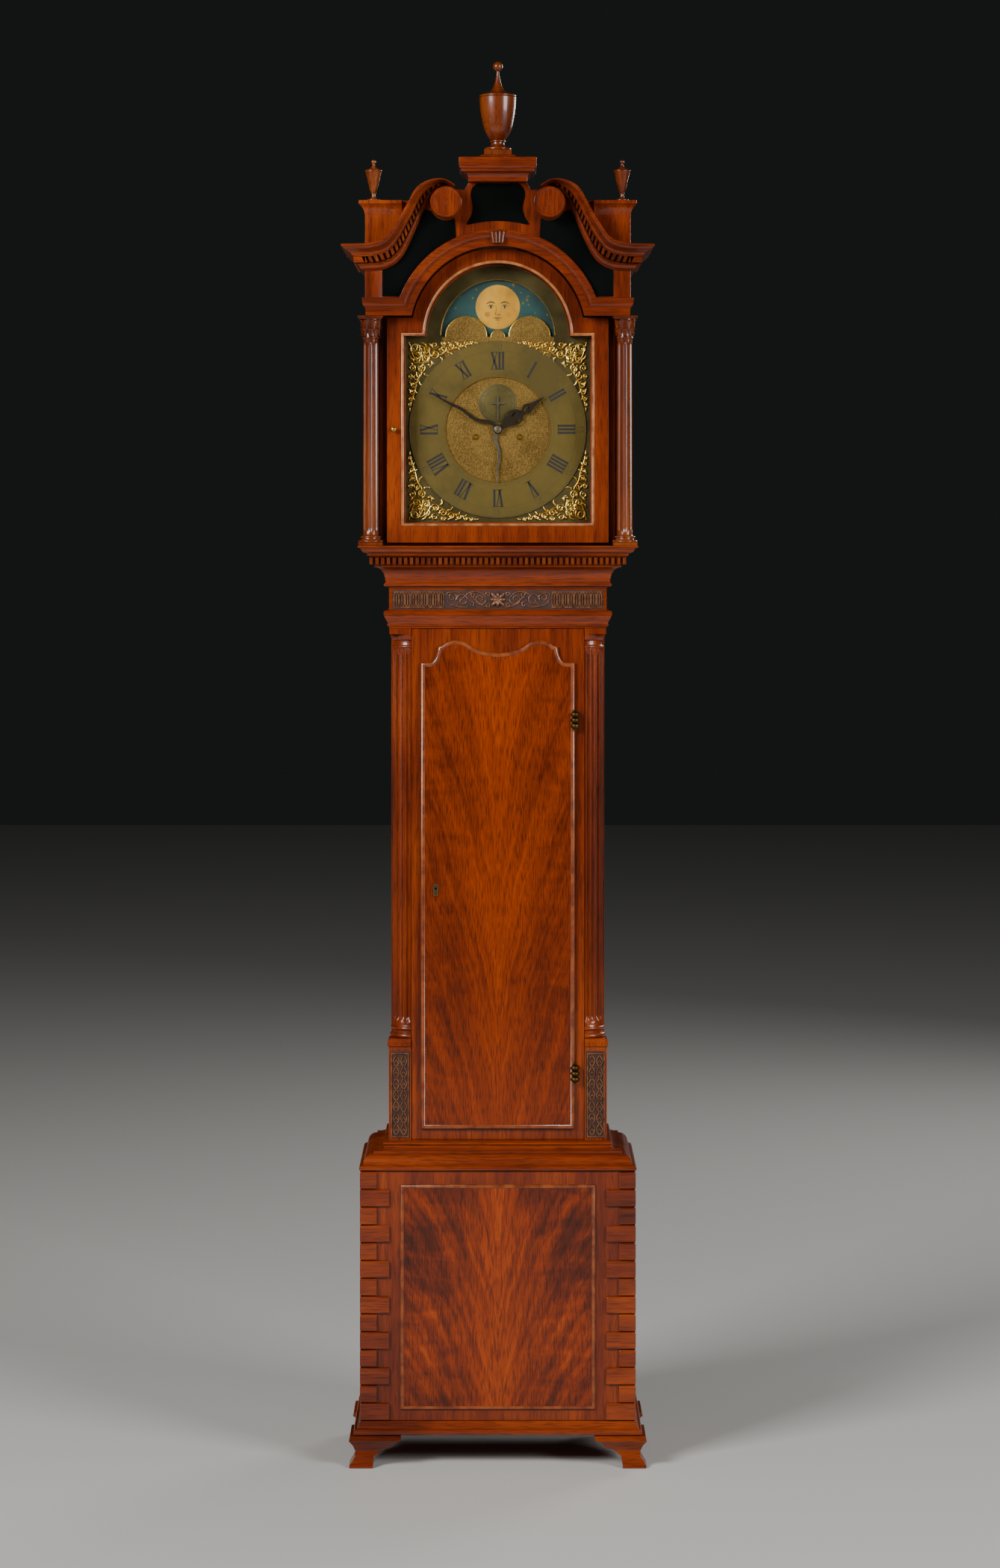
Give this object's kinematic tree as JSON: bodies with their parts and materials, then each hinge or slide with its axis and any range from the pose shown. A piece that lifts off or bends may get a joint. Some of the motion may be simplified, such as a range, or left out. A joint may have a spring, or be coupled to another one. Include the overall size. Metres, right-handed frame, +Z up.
{
  "type": "longcase clock",
  "caption": "Tall mahogany longcase clock with arched brass dial, moon disc, swan-neck pediment, glazed hood door, trunk door, weights and pendulum.",
  "frame": {"origin": "on the floor, under the middle of the overall box", "axes": "+Z up, the dial faces -Y, +X to the right as one looks at the dial"},
  "size_m": [0.5434, 0.278, 2.448],
  "materials": {
    "mahogany": "French-polished solid mahogany",
    "crotch_mahogany": "French-polished flame mahogany veneer",
    "pine": "planed, unfinished softwood",
    "brass": "lacquered, aged brass",
    "ring_brass": "brushed brass with waxed engraving",
    "bell_metal": "turned bell metal",
    "steel": "polished steel",
    "blue_steel": "dark blued steel",
    "weight_iron": "cast",
    "moon_paint": "oil paint on brass sheet",
    "gut": "twisted gut",
    "glass": "clear crown glass"
  },
  "bodies": {
    "case": {"backboard": "pine", "base_front": "crotch_mahogany", "base_side_left": "mahogany", "base_side_right": "mahogany", "quoins_left": "mahogany", "quoins_right": "mahogany", "plinth_moulding": "mahogany", "foot_front_left": "mahogany", "foot_front_right": "mahogany", "foot_back_left": "mahogany", "foot_back_right": "mahogany", "waist_moulding": "mahogany", "trunk_front_frame": "mahogany", "trunk_side_left": "mahogany", "trunk_side_right": "mahogany", "quarter_column_left": "mahogany", "quarter_column_right": "mahogany", "throat_moulding": "mahogany", "trunk_hinge_upper": "brass", "trunk_hinge_lower": "brass", "seatboard": "pine", "dial_plate": "brass", "chapter_ring": "ring_brass", "movement_plates": "brass", "bell": "bell_metal", "going_line": "gut", "striking_line": "gut"},
    "trunk_door": {"trunk_door": "crotch_mahogany"},
    "hood": {"hood_base_moulding": "mahogany", "hood_side_left": "mahogany", "hood_side_right": "mahogany", "hood_mask": "mahogany", "hood_top": "pine", "hood_column_left": "mahogany", "hood_column_right": "mahogany", "arch_moulding": "mahogany", "pediment_board": "mahogany", "swan_neck_left": "mahogany", "swan_neck_right": "mahogany", "finial_pedestal": "mahogany", "finial_center": "mahogany", "finial_left": "mahogany", "finial_right": "mahogany"},
    "hood_door": {"hood_door_frame": "mahogany", "hood_door_glass": "glass", "hood_door_knob": "brass"},
    "moon_disc": {"moon_disc": "moon_paint"},
    "hour_hand": {"hour_hand": "blue_steel"},
    "centre_arbor": {"centre_wheel": "brass", "minute_hand": "blue_steel"},
    "escape_arbor": {"escape_wheel": "brass", "seconds_hand": "blue_steel"},
    "date_hand": {"date_hand": "steel"},
    "anchor": {"anchor": "steel"},
    "pendulum": {"pendulum": "brass"},
    "going_barrel": {"going_barrel": "brass"},
    "striking_barrel": {"striking_barrel": "brass"},
    "going_weight": {"going_weight": "weight_iron"},
    "striking_weight": {"striking_weight": "weight_iron"},
    "hammer": {"hammer": "steel"}
  },
  "joints": [
    {"name": "trunk_door_hinge", "type": "hinge", "parent": "case", "child": "trunk_door", "pos_m": [0.1356, -0.0576, 0.985], "axis": [0, 0, 1], "range_deg": [0, 110]},
    {"name": "hood_slide", "type": "slide", "parent": "case", "child": "hood", "axis": [0, -1, 0], "range_m": [0, 0.26]},
    {"name": "hood_door_hinge", "type": "hinge", "parent": "hood", "child": "hood_door", "pos_m": [0.196, -0.087, 1.803], "axis": [0, 0, 1], "range_deg": [0, 92]},
    {"name": "moon_disc_turn", "type": "hinge", "parent": "case", "child": "moon_disc", "pos_m": [0, -0.0305, 1.968], "axis": [0, 1, 0], "continuous": true},
    {"name": "centre_arbor_turn", "type": "hinge", "parent": "case", "child": "centre_arbor", "pos_m": [0, -0.02, 1.805], "axis": [0, 1, 0], "continuous": true},
    {"name": "hour_hand_turn", "type": "hinge", "parent": "case", "child": "hour_hand", "pos_m": [0, -0.03, 1.805], "axis": [0, 1, 0], "continuous": true},
    {"name": "escape_arbor_turn", "type": "hinge", "parent": "case", "child": "escape_arbor", "pos_m": [0, 0, 1.851], "axis": [0, 1, 0], "continuous": true},
    {"name": "date_hand_turn", "type": "hinge", "parent": "case", "child": "date_hand", "pos_m": [0, -0.035, 1.805], "axis": [0, 1, 0], "continuous": true},
    {"name": "pendulum_swing", "type": "hinge", "parent": "case", "child": "pendulum", "pos_m": [0, 0.081, 1.885], "axis": [0, 1, 0], "range_deg": [-3, 3]},
    {"name": "anchor_rock", "type": "hinge", "parent": "case", "child": "anchor", "pos_m": [0, 0.057, 1.885], "axis": [0, 1, 0], "range_deg": [-3, 3]},
    {"name": "going_weight_rise", "type": "slide", "parent": "case", "child": "going_weight", "axis": [0, 0, 1], "range_m": [0, 0.78], "deforming": ["going_line"]},
    {"name": "striking_weight_rise", "type": "slide", "parent": "case", "child": "striking_weight", "axis": [0, 0, 1], "range_m": [0, 0.78], "deforming": ["striking_line"]},
    {"name": "going_barrel_turn", "type": "hinge", "parent": "case", "child": "going_barrel", "pos_m": [0.0387, 0, 1.7915], "axis": [0, 1, 0], "range_deg": [-3279.05, 3279.05]},
    {"name": "striking_barrel_turn", "type": "hinge", "parent": "case", "child": "striking_barrel", "pos_m": [-0.0387, 0, 1.7915], "axis": [0, 1, 0], "range_deg": [-3279.05, 3279.05]},
    {"name": "hammer_pivot", "type": "hinge", "parent": "case", "child": "hammer", "pos_m": [0.062, 0.03, 1.85], "axis": [0, 1, 0], "range_deg": [0, 20], "stiffness_Nm_per_rad": 0.2, "springref_deg": -2.86}
  ],
  "couplings": [
    {"joint": "hour_hand_turn", "follows": "centre_arbor_turn", "ratio": 0.083333},
    {"joint": "escape_arbor_turn", "follows": "centre_arbor_turn", "ratio": 60},
    {"joint": "anchor_rock", "follows": "pendulum_swing", "ratio": 1},
    {"joint": "going_barrel_turn", "follows": "going_weight_rise", "rad_per_m": 73.26},
    {"joint": "striking_barrel_turn", "follows": "striking_weight_rise", "rad_per_m": -73.26}
  ]
}
